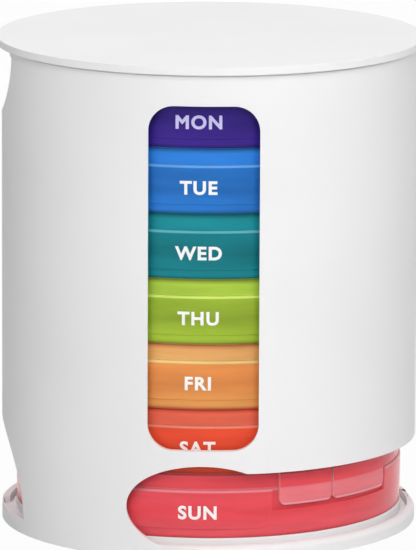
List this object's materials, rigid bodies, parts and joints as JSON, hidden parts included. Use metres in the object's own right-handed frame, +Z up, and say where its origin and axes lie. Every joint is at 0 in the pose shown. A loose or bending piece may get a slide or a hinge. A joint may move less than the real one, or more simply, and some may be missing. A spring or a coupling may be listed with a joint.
{
  "type": "weekly pill drawer organizer",
  "caption": "Round tower that stacks translucent daily pill trays with flap lids behind a window; the bottom tray pushes out sideways as a drawer.",
  "frame": {"origin": "on the tower's axis at the underside of the base, where it rests on a table", "axes": "+Z up along the tower's axis; the window faces -Y; the bottom drawer slides out towards +X"},
  "size_m": [0.1046, 0.1046, 0.1203],
  "materials": {
    "white_housing": "smooth satin-gloss white moulding",
    "sun_tray_plastic": "translucent tinted moulding",
    "sat_tray_plastic": "translucent tinted moulding",
    "fri_tray_plastic": "translucent tinted moulding",
    "thu_tray_plastic": "translucent tinted moulding",
    "wed_tray_plastic": "translucent tinted moulding",
    "tue_tray_plastic": "translucent tinted moulding",
    "mon_tray_plastic": "translucent tinted moulding"
  },
  "bodies": {
    "housing": {"tower_shell": "white_housing", "base_plate": "white_housing"},
    "lid": {"top_lid": "white_housing"},
    "sun_drawer": {"sun_tray": "sun_tray_plastic", "sun_flap_morning": "sun_tray_plastic", "sun_flap_noon": "sun_tray_plastic", "sun_flap_evening": "sun_tray_plastic", "sun_flap_bedtime": "sun_tray_plastic"},
    "sat_drawer": {"sat_tray": "sat_tray_plastic", "sat_flap_morning": "sat_tray_plastic", "sat_flap_noon": "sat_tray_plastic", "sat_flap_evening": "sat_tray_plastic", "sat_flap_bedtime": "sat_tray_plastic"},
    "fri_drawer": {"fri_tray": "fri_tray_plastic", "fri_flap_morning": "fri_tray_plastic", "fri_flap_noon": "fri_tray_plastic", "fri_flap_evening": "fri_tray_plastic", "fri_flap_bedtime": "fri_tray_plastic"},
    "thu_drawer": {"thu_tray": "thu_tray_plastic", "thu_flap_morning": "thu_tray_plastic", "thu_flap_noon": "thu_tray_plastic", "thu_flap_evening": "thu_tray_plastic", "thu_flap_bedtime": "thu_tray_plastic"},
    "wed_drawer": {"wed_tray": "wed_tray_plastic", "wed_flap_morning": "wed_tray_plastic", "wed_flap_noon": "wed_tray_plastic", "wed_flap_evening": "wed_tray_plastic", "wed_flap_bedtime": "wed_tray_plastic"},
    "tue_drawer": {"tue_tray": "tue_tray_plastic", "tue_flap_morning": "tue_tray_plastic", "tue_flap_noon": "tue_tray_plastic", "tue_flap_evening": "tue_tray_plastic", "tue_flap_bedtime": "tue_tray_plastic"},
    "mon_drawer": {"mon_tray": "mon_tray_plastic", "mon_flap_morning": "mon_tray_plastic", "mon_flap_noon": "mon_tray_plastic", "mon_flap_evening": "mon_tray_plastic", "mon_flap_bedtime": "mon_tray_plastic"}
  },
  "joints": [
    {"name": "lid_lift", "type": "slide", "parent": "housing", "child": "lid", "axis": [0, 0, 1], "range_m": [0, 0.06]},
    {"name": "sun_drawer_slide", "type": "slide", "parent": "housing", "child": "sun_drawer", "axis": [1, 0, 0], "range_m": [0, 0.105]},
    {"name": "sat_drawer_turn", "type": "hinge", "parent": "housing", "child": "sat_drawer", "pos_m": [0, 0, 0.0207], "axis": [0, 0, 1], "continuous": true},
    {"name": "fri_drawer_turn", "type": "hinge", "parent": "housing", "child": "fri_drawer", "pos_m": [0, 0, 0.0366], "axis": [0, 0, 1], "continuous": true},
    {"name": "thu_drawer_turn", "type": "hinge", "parent": "housing", "child": "thu_drawer", "pos_m": [0, 0, 0.0525], "axis": [0, 0, 1], "continuous": true},
    {"name": "wed_drawer_turn", "type": "hinge", "parent": "housing", "child": "wed_drawer", "pos_m": [0, 0, 0.0684], "axis": [0, 0, 1], "continuous": true},
    {"name": "tue_drawer_turn", "type": "hinge", "parent": "housing", "child": "tue_drawer", "pos_m": [0, 0, 0.0843], "axis": [0, 0, 1], "continuous": true},
    {"name": "mon_drawer_turn", "type": "hinge", "parent": "housing", "child": "mon_drawer", "pos_m": [0, 0, 0.1002], "axis": [0, 0, 1], "continuous": true}
  ]
}
